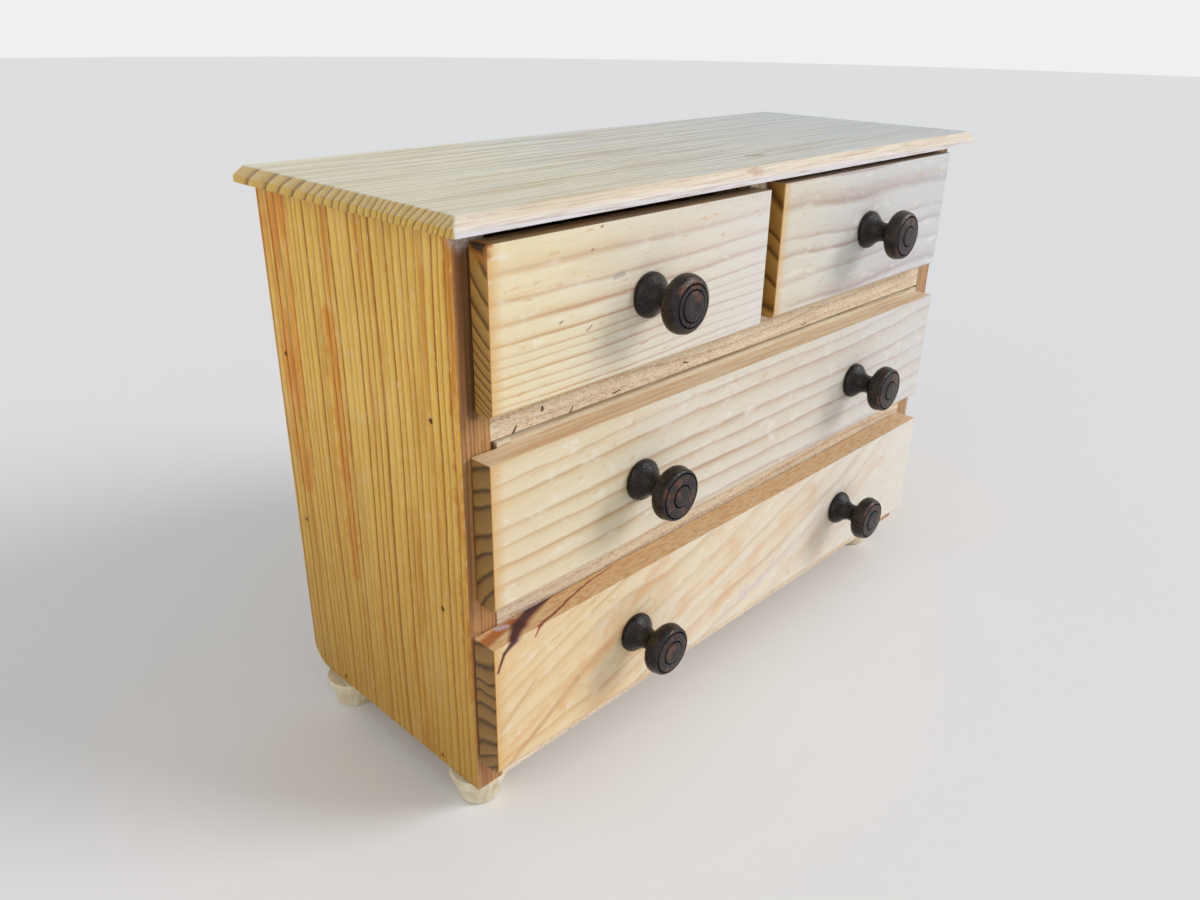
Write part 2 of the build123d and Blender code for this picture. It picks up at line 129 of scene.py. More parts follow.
def pine(name, grain, pith, ring, year, end_year, narrowing=(0.0, 100.0), slope=(0.0, 0.0),
         wobble=1.0, uneven=1.0, phase=0.0, seed=0.0, fibre=0.10, faint=0.35, dashes=0.3,
         rough=0.5, polish=0.25, lift=0.06):
    """A sawn pine board: a block of growth rings round the pith of its log.

    grain is the log's direction and pith a point on its heart, in mm. ring is the width in
    mm of a year's growth at narrowing[1] mm from the pith, and the years narrow outwards by
    the power narrowing[0]. year and end_year are the colours of one year's growth on long
    and on end grain. uneven makes some years wider and faint some paler. lift is how far
    the hard lines stand up, in mm.
    """
    made, tree, shader = fresh(name)
    point = add(tree, "TexCoord", out="Object")
    normal = add(tree, "TexCoord", out="Normal")
    turn = {"X": (0.0, slope[0], slope[1]), "Z": (slope[0], -pi / 2 + slope[1], 0.0)}[grain]
    log = add(tree, "Mapping", {"Vector": point, "Location": Vector(pith) * MM,
                                "Rotation": turn, "Scale": (MM, MM, MM)}, vector_type="TEXTURE")
    place = add(tree, "VectorMath", {0: point, "Scale": 1 / MM}, operation="SCALE")
    board = SimpleNamespace(material=made, tree=tree, shader=shader, log=log, place=place,
                            normal=normal)
    # growth rings: distance from the pith, bent by slow and quick waves along the log
    across = add(tree, "VectorMath", {0: log, 1: (0.0, 1.0, 1.0)}, operation="MULTIPLY")
    radius = add(tree, "VectorMath", {0: across}, out="Value", operation="LENGTH")
    for size, bend in (((170.0, 60.0, 60.0), 7.0), ((26.0, 9.0, 9.0), 0.7)):
        wave = patches(board, size, 0.2, 0.8, bend * wobble, seed, detail=1.0)
        radius = add(tree, "Math", {0: radius, 1: wave}, operation="ADD")
    power = narrowing[0] + 1.0
    spread = narrowing[1]
    years = add(tree, "Math", {0: radius, 1: spread}, operation="DIVIDE")
    years = add(tree, "Math", {0: years, 1: power}, operation="POWER")
    years = add(tree, "Math", {0: years, 1: spread / (power * ring), 2: phase},
                operation="MULTIPLY_ADD")
    # good and bad summers come and go every few years, and make the rings wide or narrow
    summers = add(tree, "Math", {0: years, 1: 0.37, 2: seed}, operation="MULTIPLY_ADD")
    summers = add(tree, "TexNoise", {"W": summers, "Scale": 1.0, "Detail": 1.0},
                  noise_dimensions="1D")
    years = add(tree, "Math", {0: summers, 1: uneven, 2: years}, operation="MULTIPLY_ADD")
    board.season = add(tree, "Math", {0: years}, operation="FRACT")
    # some years have hardly left a dark line
    pale = add(tree, "Math", {0: years, 1: 0.83, 2: seed}, operation="MULTIPLY_ADD")
    pale = add(tree, "TexNoise", {"W": pale, "Scale": 1.0, "Detail": 0.0}, noise_dimensions="1D")
    pale = add(tree, "MapRange", {"Value": pale, "From Min": 0.35, "From Max": 0.65,
                                  "To Min": 0.0, "To Max": faint})
    figure = add(tree, "ValToRGB", {"Fac": board.season}, stops=year)
    figure = add(tree, "Mix", {"Factor": pale, "A": figure, "B": year[0][1]}, out="Result",
                 data_type="RGBA")
    # long fibres, which lighten and darken the wood by a few per cent. They are drawn ten
    # times as wide as they are, or they wouldn't show
    strands = patches(board, (14.0, 0.28, 0.28), 0.25, 0.75, 1.0, seed)
    shade = add(tree, "MapRange", {"Value": strands, "To Min": 1.0 - fibre, "To Max": 1.0 + fibre})
    shade = add(tree, "CombineColor", {"Red": shade, "Green": shade, "Blue": shade})
    figure = add(tree, "Mix", {"Factor": 1.0, "A": figure, "B": shade}, out="Result",
                 data_type="RGBA", blend_type="MULTIPLY")
    # end grain is darker, with its late wood sharply marked and its pores open. The pores
    # too are drawn wider than they are
    board.end = facing(board, {"X": (1.0, 0.0, 0.0), "Z": UP}[grain], 0.45, 0.85, both_ways=True)
    pores = patches(board, (0.5, 0.5, 0.5), 0.3, 0.75, 1.0, seed)
    pores = add(tree, "MapRange", {"Value": pores, "To Min": 0.8, "To Max": 1.1})
    pores = add(tree, "CombineColor", {"Red": pores, "Green": pores, "Blue": pores})
    cut = add(tree, "ValToRGB", {"Fac": board.season}, stops=end_year)
    board.cut = add(tree, "Mix", {"Factor": 1.0, "A": cut, "B": pores}, out="Result",
                    data_type="RGBA", blend_type="MULTIPLY")
    # resin canals and torn fibres: short dark and pale dashes along the grain
    board.colour = figure
    mottle(board, (4.0, 0.45, 0.45), 0.58, 0.72, dashes, seed + 1, year[-2][1])
    mottle(board, (5.0, 0.5, 0.5), 0.58, 0.72, dashes, seed + 5, "#FBF4E4")
    height = add(tree, "Math", {0: board.season, 1: strands}, operation="ADD")
    bump = add(tree, "Bump", {"Height": height, "Distance": lift * MM, "Strength": 0.6})
    gloss = add(tree, "MapRange", {"Value": strands, "To Min": rough + 0.08,
                                   "To Max": rough - 0.06})
    tree.links.new(bump, shader.inputs["Normal"])
    tree.links.new(gloss, shader.inputs["Roughness"])
    shader.inputs["IOR"].default_value = 1.5
    shader.inputs["Specular IOR Level"].default_value = polish
    return board


def fade(board, axis, start, stop, first, last):
    """An amount that runs from first to last between two places (mm) along an axis."""
    along = add(board.tree, "SeparateXYZ", {"Vector": board.place}, out=axis)
    return add(board.tree, "MapRange", {"Value": along, "From Min": start, "From Max": stop,
                                        "To Min": first, "To Max": last})


def spot(board, centre, reach, ragged=0.0, amount=1.0):
    """A round or drawn-out spot that fades at reach (mm) from its centre, with a ragged rim."""
    off = add(board.tree, "VectorMath", {0: board.place, 1: centre}, operation="SUBTRACT")
    near = add(board.tree, "VectorMath", {0: off, 1: reach}, operation="DIVIDE")
    away = add(board.tree, "VectorMath", {0: near}, out="Value", operation="LENGTH")
    if ragged:
        rim = patches(board, (3.0, 2.0, 2.0), 0.2, 0.8, ragged, sum(centre))
        away = add(board.tree, "Math", {0: away, 1: rim}, operation="ADD")
    return add(board.tree, "MapRange", {"Value": away, "From Min": 0.5, "From Max": 1.0,
                                        "To Min": amount, "To Max": 0.0},
               interpolation_type="SMOOTHSTEP")


def line(board, start, stop, widths, wander=0.0, amount=1.0):
    """A line from start to stop (mm) whose half width runs from widths[0] to widths[1]."""
    tree = board.tree
    place = board.place
    if wander:
        sway = add(tree, "TexNoise", {"Vector": place, "Scale": 0.16, "Detail": 3.0}, out="Color")
        sway = add(tree, "VectorMath", {0: sway, 1: (0.5, 0.5, 0.5)}, operation="SUBTRACT")
        place = add(tree, "VectorMath", {0: sway, 1: (wander,) * 3, 2: place},
                    operation="MULTIPLY_ADD")
    run = Vector(stop) - Vector(start)
    off = add(tree, "VectorMath", {0: place, 1: start}, operation="SUBTRACT")
    along = add(tree, "VectorMath", {0: off, 1: run / run.length_squared}, out="Value",
                operation="DOT_PRODUCT")
    along = add(tree, "Clamp", {"Value": along})
    foot = add(tree, "VectorMath", {0: run, "Scale": along}, operation="SCALE")
    away = add(tree, "VectorMath", {0: off, 1: foot}, out="Value", operation="DISTANCE")
    width = add(tree, "Math", {0: along, 1: widths[1] - widths[0], 2: widths[0]},
                operation="MULTIPLY_ADD")
    away = add(tree, "Math", {0: away, 1: width}, operation="DIVIDE")
    return add(tree, "MapRange", {"Value": away, "From Min": 0.4, "From Max": 1.0,
                                  "To Min": amount, "To Max": 0.0},
               interpolation_type="SMOOTHSTEP")


def finish(node_name, board):
    """Show a board's end grain where it was cut across, and give the board its material."""
    stain(board, board.end, board.cut)
    coat(node_name, board.material)


side_low, side_high = corners("left_side")
side_height = side_high.z - side_low.z
SIDE_YEAR = [(0.0, "#F2C662"), (0.45, "#E6B750"), (0.68, "#D2993A"), (0.80, "#8E5616"),
             (0.88, "#A66A20"), (0.95, "#E0AE4A"), (1.0, "#F2C662")]
OCHRE_END = [(0.0, "#C9A04C"), (0.6, "#B98A3A"), (0.86, "#6E4A1C"), (1.0, "#C9A04C")]
left_board = pine("oiled_pine_left_side", "Z", (side_low.x + 30, side_high.y + 110, 0.0), 4.0,
                  SIDE_YEAR, OCHRE_END, wobble=0.45, seed=2.0, faint=0.55, fibre=0.14,
                  dashes=0.5, polish=0.18)
# orange, straw and ochre patches, drawn out along the grain
mottle(left_board, (70.0, 5.0, 5.0), 0.52, 0.70, 0.60, 4.0, "#CC7E26")
mottle(left_board, (60.0, 16.0, 16.0), 0.52, 0.75, 0.30, 9.0, "#F0D48C")
mottle(left_board, (30.0, 9.0, 9.0), 0.52, 0.72, 0.25, 14.0, "#B98A3C")
# resin: orange streaks up the board, widest at the back. Their feet and heads are given as
# shares of the board's height, and half is half their width in mm.
for y, foot, head, half, tint, strength in (
        (side_high.y - 12, 0.45, 1.0, 12.0, "#F2BC80", 0.80),
        (side_high.y - 44, 0.30, 0.80, 7.0, "#F4C48C", 0.80),
        (side_low.y + 30, 0.0, 0.5, 6.0, "#ECD6B0", 0.60),
        (side_low.y + 2, 0.2, 1.0, 3.5, "#E4B684", 0.70)):
    start = (side_low.x, y, side_low.z + foot * side_height)
    stop = (side_low.x, y, side_low.z + head * side_height)
    streak = line(left_board, start, stop, (half * 0.7, half), 9.0, strength)
    broken = patches(left_board, (30.0, 4.0, 4.0), 0.28, 0.60, 1.0, y)
    stain(left_board, streak, tint, "MULTIPLY", only=broken)
# the board is darker and duller towards the bottom
stain(left_board, fade(left_board, "Z", side_low.z + 10, side_low.z + 150, 0.62, 0.0), "#956A24")


def sawn_edge(board, pink, red):
    """The front edge of a side board: dull, pinkish, with reddish lines along it."""
    edge = facing(board, FRONT)
    stain(board, 0.85, pink, only=edge)
    mottle(board, (70.0, 1.0, 1.0), 0.42, 0.60, 0.75, 5.0, red, only=edge)
    mottle(board, (2.0, 0.6, 0.6), 0.50, 0.66, 0.40, 7.0, "#8A6048", only=edge)


sawn_edge(left_board, "#BC8F62", "#8E5C3E")
edge_middle = side_low.x + 6
rough_end = spot(left_board, (edge_middle, side_low.y, side_high.z), (18.0, 3.0, 10.0), 0.3)
stain(left_board, rough_end, "#C6B7AE")
mottle(left_board, (0.8, 0.8, 0.8), 0.5, 0.6, 0.7, 0.0, "#6E564C", only=rough_end)
# a painted shadow, cast by the short drawer's front, darkens the edge where it passes behind that
# front
painted_shadow_low = (edge_middle, side_low.y, side_low.z + 157.8)
painted_shadow_high = (edge_middle, side_low.y, side_low.z + 207.8)
painted_shadow = line(left_board, painted_shadow_low, painted_shadow_high, (4.5, 5.5), 0.0, 0.7)
stain(left_board, painted_shadow, "#4A3018", only=facing(left_board, FRONT))
finish("left_side", left_board)

# ---------------------------------------------------------------- right side board
# A second plank of the same oiled pine, the mirror image of the left one in its shape. It
# was cut further out in the log, so its lines are closer, and its sawn edge is paler.
right_high = corners("right_side")[1]
right_board = pine("oiled_pine_right_side", "Z",
                   (right_high.x - 20, right_high.y + 150, 0.0), 3.7, SIDE_YEAR, OCHRE_END,
                   wobble=0.6, seed=9.0, faint=0.5, fibre=0.12, dashes=0.5)
mottle(right_board, (110.0, 6.0, 6.0), 0.50, 0.70, 0.6, 3.0, "#CE8230")
mottle(right_board, (50.0, 18.0, 18.0), 0.52, 0.75, 0.35, 6.0, "#EED089")
sawn_edge(right_board, "#C49A70", "#95644A")
finish("right_side", right_board)

# ---------------------------------------------------------------- floor, shelves, divider
# Bare pine boards between the sides, glued and pinned. Their front edges are left as the
# saw cut them: fuzzy, pinkish, speckled, with short cracks and a worm hole.
SHELF_YEAR = [(0.0, "#E8D6B6"), (0.55, "#E0CAA4"), (0.85, "#C4A27A"), (1.0, "#E8D6B6")]
SHELF_END = [(0.0, "#B59870"), (0.8, "#7E5E3A"), (1.0, "#B59870")]
# the upper shelf's cracks and its worm hole, the third: start and stop as (x, z) in mm from
# the lower left end of its front edge, then the half width
SHELF_FLAWS = [((9.5, -0.6), (11.3, 2.2), 0.8), ((36.5, -0.4), (38.3, 2.0), 0.7),
               ((23.4, 5.0), (23.4, 6.0), 1.1), ((59.5, 1.3), (63.5, 1.7), 0.5),
               ((100.5, 3.6), (103.0, 2.8), 0.6), ((185.5, 0.8), (189.5, 1.4), 0.5)]
for shelf_name, seed in (("floor_board", 4.0), ("lower_shelf", 5.0), ("upper_shelf", 6.0),
                         ("centre_divider", 7.0)):
    low, high = corners(shelf_name)
    upright = shelf_name == "centre_divider"
    heart = (high.x + 20, low.y - 30, 0.0) if upright else (0.0, low.y - 20, low.z - 40)
    shelf = pine("sawn_pine_" + shelf_name, "Z" if upright else "X", heart, 4.5, SHELF_YEAR,
                 SHELF_END, seed=seed, fibre=0.14, rough=0.75, polish=0.12, lift=0.15)
    edge = facing(shelf, FRONT)
    mottle(shelf, (50.0, 12.0, 12.0), 0.48, 0.70, 0.35, seed, "#C79C84")
    mottle(shelf, (1.6, 0.5, 0.5), 0.40, 0.65, 0.65, seed, "#F4E8D4", only=edge)
    mottle(shelf, (3.5, 0.5, 0.5), 0.56, 0.66, 0.45, seed + 3, "#A97F5C", only=edge)
    mottle(shelf, (1.1, 0.6, 0.9), 0.64, 0.70, 0.7, seed + 8, "#6E4630", only=edge)
    if shelf_name == "upper_shelf":
        for start, stop, half in SHELF_FLAWS:
            crack = line(shelf, low + Vector((start[0], 0.0, start[1])),
                         low + Vector((stop[0], 0.0, stop[1])), (half, half * 0.6), 1.0, 0.9)
            stain(shelf, crack, "#3E2618")
    finish(shelf_name, shelf)

# ---------------------------------------------------------------- back panel
# A thin pine board let in between the sides and held by small pins. It was never oiled,
# and has only darkened with age, in broad flat-sawn figure.
back_high = corners("back_panel")[1]
BACK_YEAR = [(0.0, "#D6BA8A"), (0.6, "#CAA872"), (0.85, "#AE844E"), (1.0, "#D6BA8A")]
back_board = pine("bare_pine_back", "X", (0.0, back_high.y + 40, 90.0), 4.0, BACK_YEAR,
                  OCHRE_END, wobble=2.0, seed=12.0, fibre=0.14, rough=0.7, polish=0.15)
mottle(back_board, (80.0, 30.0, 30.0), 0.48, 0.72, 0.35, 3.0, "#B08A58")
finish("back_panel", back_board)

# ---------------------------------------------------------------- top board
# A thin pine board whose upper edge is planed to a bevel. Light has bleached its face
# nearly white; the bevel across its ends shows golden end grain with slanted rings, and
# a small knot near the front has torn under the plane.
top_low, top_high = corners("top_board")
TOP_YEAR = [(0.0, "#E6E2D2"), (0.40, "#D8D2BE"), (0.70, "#BDAE8A"), (0.84, "#9E8C66"),
            (0.92, "#BCAE90"), (1.0, "#E6E2D2")]
GOLD_END = [(0.0, "#E6BE58"), (0.62, "#D9AE48"), (0.80, "#B07F2C"), (0.87, "#74501A"),
            (0.92, "#B78A34"), (1.0, "#E6BE58")]
top_board = pine("bleached_pine_top", "X", (0.0, top_high.y + 40, top_high.z + 55), 5.0,
                 TOP_YEAR, GOLD_END, narrowing=(1.5, 120.0), slope=(0.0, radians(1.0)),
                 wobble=1.3, seed=15.0, faint=0.4, fibre=0.12, dashes=0.6, rough=0.40,
                 polish=0.4)
mottle(top_board, (120.0, 14.0, 14.0), 0.48, 0.70, 0.35, 1.0, "#EAE7DC")
mottle(top_board, (90.0, 5.0, 5.0), 0.50, 0.64, 0.65, 6.0, "#AF9462")
mottle(top_board, (60.0, 8.0, 8.0), 0.54, 0.70, 0.45, 12.0, "#AFBCC0")
# the face has yellowed at its left end; to the right it is painted cooler, a painted reflection of
# the sky. Both fade along
# X, in mm from the chest's middle
face = facing(top_board, UP)
stain(top_board, fade(top_board, "X", -150.0, -40.0, 0.45, 0.0), "#E2D8AE", only=face)
# painted reflection: a cool sky tint that grows to the right
stain(top_board, fade(top_board, "X", -90.0, 150.0, 0.0, 0.65), "#B0B9C1", only=face)
# the front bevel: peach above, whitish and lilac below, thin reddish lines along it
front_bevel = facing(top_board, FRONT, 0.25, 0.6)
lower_half = fade(top_board, "Z", top_low.z + 1.0, top_low.z + 3.4, 0.75, 0.0)
stain(top_board, 0.7, "#E6D3B8", only=front_bevel)
stain(top_board, lower_half, "#DEDCE2", only=front_bevel)
mottle(top_board, (25.0, 0.7, 0.7), 0.50, 0.64, 0.5, 3.0, "#B9A086", only=front_bevel)
# each line: its ends in mm from the chest's middle, its height above the board's underside,
# and its strength
for left_end, right_end, height, strength in ((-160.0, -20.0, 5.2, 0.6), (-12.0, 70.0, 4.0, 0.45),
                                              (30.0, 165.0, 5.3, 0.5)):
    start = (left_end, top_low.y + 2, top_low.z + height)
    stop = (right_end, top_low.y + 2, top_low.z + height + 0.3)
    stain(top_board, line(top_board, start, stop, (0.35, 0.6), 1.0, strength), "#A4644A")
# the torn knot, a dark slit in a cloud of redder wood, and the swirl beside it
knot = Vector((5.7, top_low.y + 20.8, top_high.z))
slit = Vector((4.2, -1.8, 0.0))
swirl = (-20.6, top_low.y + 1, top_low.z + 4.8)
stain(top_board, spot(top_board, knot, (13.0, 6.0, 4.0), 0.4, 0.5), "#B59272")
stain(top_board, line(top_board, knot - slit, knot + slit, (1.0, 0.5), 1.5), "#4A3527")
stain(top_board, spot(top_board, swirl, (8.0, 5.0, 3.0), 0.4, 0.5), "#B88A66")
finish("top_board", top_board)

# ---------------------------------------------------------------- turned feet
# Short tapered pegs turned from pale wood and left bare. Each is glued into the boards
# above it, and has taken up some brown dirt in its pores.
FOOT_YEAR = [(0.0, "#E2D8BE"), (0.6, "#DACEB0"), (0.85, "#C9B993"), (1.0, "#E2D8BE")]
for foot_name, seed in (("foot_front_left", 21.0), ("foot_back_left", 22.0),
                        ("foot_front_right", 23.0), ("foot_back_right", 24.0)):
    low, high = corners(foot_name)
    foot = pine("turned_bare_" + foot_name, "Z", (low.x - 30, (low.y + high.y) / 2, 0.0), 3.4,
                FOOT_YEAR, FOOT_YEAR, seed=seed, fibre=0.06, faint=0.6, rough=0.55)
    mottle(foot, (5.0, 6.0, 6.0), 0.46, 0.70, 0.35, seed, "#B09C6E")
    mottle(foot, (1.5, 0.7, 0.7), 0.60, 0.70, 0.4, seed, "#8F7A4E")
    finish(foot_name, foot)

# ---------------------------------------------------------------- steel pins and screws
# Plain steel pins, punched below the wood, and the screws that hold the knobs. The steel
# has gone a dull, blotchy grey, and only the heads show.
TARNISH_SPOTS = 1600.0   # to the metre, so about 0.6 mm each
pin_steel, tree, shader = fresh("dull_steel_pins")
dull = add(tree, "TexNoise", {"Vector": add(tree, "TexCoord", out="Object"),
                              "Scale": TARNISH_SPOTS, "Detail": 3.0})
dull = add(tree, "MapRange", {"Value": dull, "From Min": 0.35, "From Max": 0.65})
tarnish = add(tree, "Mix", {"Factor": dull, "A": "#4A4A4C", "B": "#8B8A88"}, out="Result",
              data_type="RGBA")
worn = add(tree, "MapRange", {"Value": dull, "To Min": 0.55, "To Max": 0.35})
tree.links.new(tarnish, shader.inputs["Base Color"])
tree.links.new(worn, shader.inputs["Roughness"])
shader.inputs["Metallic"].default_value = 1.0
for pin_name in nodes:
    if pin_name.endswith(("_pins", "_screws")):
        coat(pin_name, pin_steel)

# ---------------------------------------------------------------- drawer fronts
# Each front is its own strip of pine with rounded long edges, oiled like the sides, and
# each was cut from another place in the log, so colour and figure change from one to the
# next. They have yellowed at the left; to the right they are painted cooler and paler, painted
# cool window light.
OILED_END = [(0.0, "#B98E48"), (0.6, "#A67B38"), (0.82, "#5E3E14"), (0.90, "#8A6428"),
             (1.0, "#B98E48")]
BROWN_END = [(0.0, "#9C7436"), (0.6, "#8C662C"), (0.82, "#4C3210"), (0.90, "#70501E"),
             (1.0, "#9C7436")]


def aged_front(board, low, high, warm, cool, painted_cool_amount, top_tint_and_shade, top_tint_and_shade_amount):
    """Years of oil and hands on every front, warm left end and dark arris, with painted light: a
    cool right, a top arris highlight.
    """
    long_grain = add(board.tree, "Math", {0: 1.0, 1: board.end}, operation="SUBTRACT")
    third = (high.x - low.x) / 3
    warmed = fade(board, "X", low.x, low.x + third, 0.45, 0.0)
    stain(board, warmed, warm, only=long_grain)
    # painted light: the right part is painted cooler and paler, for the cool window light on it
    painted_cool_light = fade(board, "X", low.x + third / 2, high.x, 0.0, painted_cool_amount)
    stain(board, painted_cool_light, cool, only=long_grain)
    # oil drawn into the left end has turned its first few millimetres golden
    soaked = fade(board, "X", low.x + 1, low.x + 6, 0.65, 0.0)
    stain(board, soaked, "#D9A656", only=long_grain)
    # scuffs and specks that years of handling left on the face
    mottle(board, (11.0, 5.0, 5.0), 0.56, 0.74, 0.45, 4.0, "#F1ECE2")
    mottle(board, (7.0, 2.5, 2.5), 0.62, 0.74, 0.40, 12.0, "#D49C5C")
    # the top is tinted and striped orange-tan. On the short fronts the dark tint is painted shade
    # from the top board's overhang.
    # A bright broken line runs along its front arris, a painted highlight on scratched wood
    up = facing(board, UP, 0.80, 0.97)
    stain(board, top_tint_and_shade_amount, top_tint_and_shade, only=up)
    mottle(board, (50.0, 1.3, 1.3), 0.46, 0.62, 0.50, 2.0, "#C68C50", only=up)
    # painted highlight: pale dashes along the front arris
    arris = facing(board, (0.0, -0.50, 0.87), 0.88, 0.98)
    mottle(board, (22.0, 1.6, 1.6), 0.36, 0.56, 0.80, 8.0, "#FAF1E2", only=arris)
    # the lower edge has kept more of the oil
    stain(board, 0.55, "#D59A4C", only=facing(board, (0.0, -0.5, -0.87), 0.75, 0.97))
    # and so has the arris between face and left end
    stain(board, facing(board, (-0.7, -0.71, 0.0), 0.80, 0.97), "#B9792C")


def marked(board, low, marks):
    """Small marks on a front's face: (x, z, x, z, half width, half width, colour, strength).

    A mark runs from the first x and z to the second, in mm from the face's lower left corner.
    """
    for x, z, stop_x, stop_z, first, last, colour, strength in marks:
        start = low + Vector((x, 0.0, z))
        stop = low + Vector((stop_x, 0.0, stop_z))
        stain(board, line(board, start, stop, (first, last), 0.8, strength), colour)


# upper left: cream wood with fine reddish lines, a scorched corner and a few dark flecks
CREAM_YEAR = [(0.0, "#E9DCBC"), (0.50, "#E4D3AE"), (0.72, "#DCC095"), (0.82, "#B78356"),
              (0.90, "#CDA273"), (1.0, "#E9DCBC")]
low, high = corners("top_left_front")
cream_front = pine("cream_pine_top_left_front", "X", (low.x, low.y - 66, high.z + 53), 4.5,
                   CREAM_YEAR, OILED_END, narrowing=(4.0, 105.0), slope=(radians(-1.0), 0.0),
                   wobble=0.5, uneven=0.8, phase=0.8, seed=31.0, fibre=0.07, dashes=0.18,
                   rough=0.42, polish=0.35)
mottle(cream_front, (80.0, 14.0, 14.0), 0.48, 0.72, 0.4, 3.0, "#EDE2C8")
mottle(cream_front, (60.0, 8.0, 8.0), 0.52, 0.72, 0.35, 7.0, "#DDB478")
# the dark top tint on this short front is painted shade under the top board's overhang
aged_front(cream_front, low, high, "#EED9A6", "#DADBDD", 0.62, "#7A5430", 0.75)
marked(cream_front, low, [
    (30.0, 25.9, 31.2, 26.4, 0.5, 0.4, "#8A5A38", 0.8),
    (42.4, 20.7, 44.9, 22.3, 0.35, 0.35, "#8A5A38", 0.8),
    (44.5, 47.7, 45.3, 48.1, 0.5, 0.4, "#7E5232", 0.8),
    (48.9, 54.8, 49.9, 55.0, 0.6, 0.4, "#7E5232", 0.7),
    (55.4, 36.7, 60.4, 37.5, 1.0, 1.6, "#A9A29C", 0.55),
    (70.4, 9.5, 74.4, 9.9, 0.4, 0.3, "#A87A50", 0.6),
    (114.4, 42.5, 115.8, 43.1, 0.4, 0.3, "#9A7454", 0.6)])
for reach, scorch in (((5.0, 9.0, 9.0), "#B06A22"), ((2.4, 8.0, 4.6), "#2C1B0E")):
    burn = spot(cream_front, (low.x, low.y + 4, high.z), reach, 0.35, 0.95)
    stain(cream_front, burn, scorch)
    cream_front.cut = add(cream_front.tree, "Mix",
                          {"Factor": burn, "A": cream_front.cut, "B": scorch}, out="Result",
                          data_type="RGBA")
# fine saw hatching that the plane left along the top arris
HATCHING = 5.0           # radians to the mm, so a cut every 1.26 mm
across = add(cream_front.tree, "SeparateXYZ", {"Vector": cream_front.place}, out="X")
hatch = add(cream_front.tree, "Math", {0: across, 1: HATCHING}, operation="MULTIPLY")
hatch = add(cream_front.tree, "Math", {0: hatch}, operation="SINE")
hatch = add(cream_front.tree, "MapRange", {"Value": hatch, "From Min": 0.2, "From Max": 1.0,
                                           "To Min": 0.0, "To Max": 0.35})
hatched = line(cream_front, (low.x + 98.4, low.y + 1, high.z - 1),
               (low.x + 144.4, low.y + 1, high.z - 1), (2.0, 2.4))
stain(cream_front, hatch, "#A98A66", only=hatched)
finish("top_left_front", cream_front)

# upper right: pale, cool wood with wide faint rings
PALE_YEAR = [(0.0, "#D9D5CC"), (0.55, "#D1CBBE"), (0.76, "#C2AEA2"), (0.85, "#A78A7E"),
             (0.92, "#C0B0A4"), (1.0, "#D9D5CC")]
low, high = corners("top_right_front")
pale_front = pine("pale_pine_top_right_front", "X", (low.x, low.y - 40, high.z + 30), 7.5,
                  PALE_YEAR, OILED_END, narrowing=(0.6, 80.0), wobble=1.5, uneven=1.4,
                  seed=37.0, fibre=0.07, dashes=0.15, rough=0.42, polish=0.35)
mottle(pale_front, (90.0, 18.0, 18.0), 0.48, 0.72, 0.35, 3.0, "#DDD6C4")
# the dark top tint on this short front is painted shade under the top board's overhang
aged_front(pale_front, low, high, "#E0D2B0", "#CBCDD2", 0.60, "#7A5A3C", 0.6)
finish("top_right_front", pale_front)

# middle: peach wood with wide bands that run level along it
PEACH_YEAR = [(0.0, "#E2D6BE"), (0.50, "#DCCDAE"), (0.74, "#D0B48C"), (0.85, "#B38660"),
              (0.92, "#C8A882"), (1.0, "#E2D6BE")]
low, high = corners("middle_front")
peach_front = pine("peach_pine_middle_front", "X", (0.0, low.y - 30, low.z - 25), 7.2,
                   PEACH_YEAR, BROWN_END, slope=(radians(-1.2), 0.0), seed=41.0, fibre=0.07,
                   dashes=0.18, rough=0.42, polish=0.35)
mottle(peach_front, (100.0, 18.0, 18.0), 0.48, 0.72, 0.45, 3.0, "#E4DCCA")
mottle(peach_front, (70.0, 9.0, 9.0), 0.54, 0.72, 0.40, 6.0, "#DDB684")
aged_front(peach_front, low, high, "#EAD2A0", "#D3D5DA", 0.60, "#E2CBA8", 0.7)
finish("middle_front", peach_front)

# bottom: tan wood whose grain slants up to the right, with a streak of bark at the left
TAN_YEAR = [(0.0, "#E9D7B2"), (0.50, "#E6D1A6"), (0.76, "#DCC092"), (0.88, "#CBA878"),
            (0.94, "#DEC79C"), (1.0, "#E9D7B2")]
low, high = corners("bottom_front")
tan_front = pine("tan_pine_bottom_front", "X", (low.x + 40, low.y - 35, low.z - 50), 7.0,
                 TAN_YEAR, BROWN_END, slope=(radians(-17.0), 0.0), wobble=2.2, uneven=1.6,
                 seed=47.0, faint=0.75, fibre=0.07, dashes=0.15, rough=0.42, polish=0.35)
mottle(tan_front, (60.0, 18.0, 18.0), 0.48, 0.72, 0.5, 3.0, "#EBDFC8")
mottle(tan_front, (50.0, 14.0, 14.0), 0.52, 0.72, 0.45, 6.0, "#DEB27A")
mottle(tan_front, (50.0, 20.0, 20.0), 0.54, 0.75, 0.25, 11.0, "#D2C3C4")
mottle(tan_front, (16.0, 9.0, 9.0), 0.50, 0.72, 0.45, 15.0, "#E2B67C")
aged_front(tan_front, low, high, "#E6BE80", "#E0E1E3", 0.60, "#E0B984", 0.7)
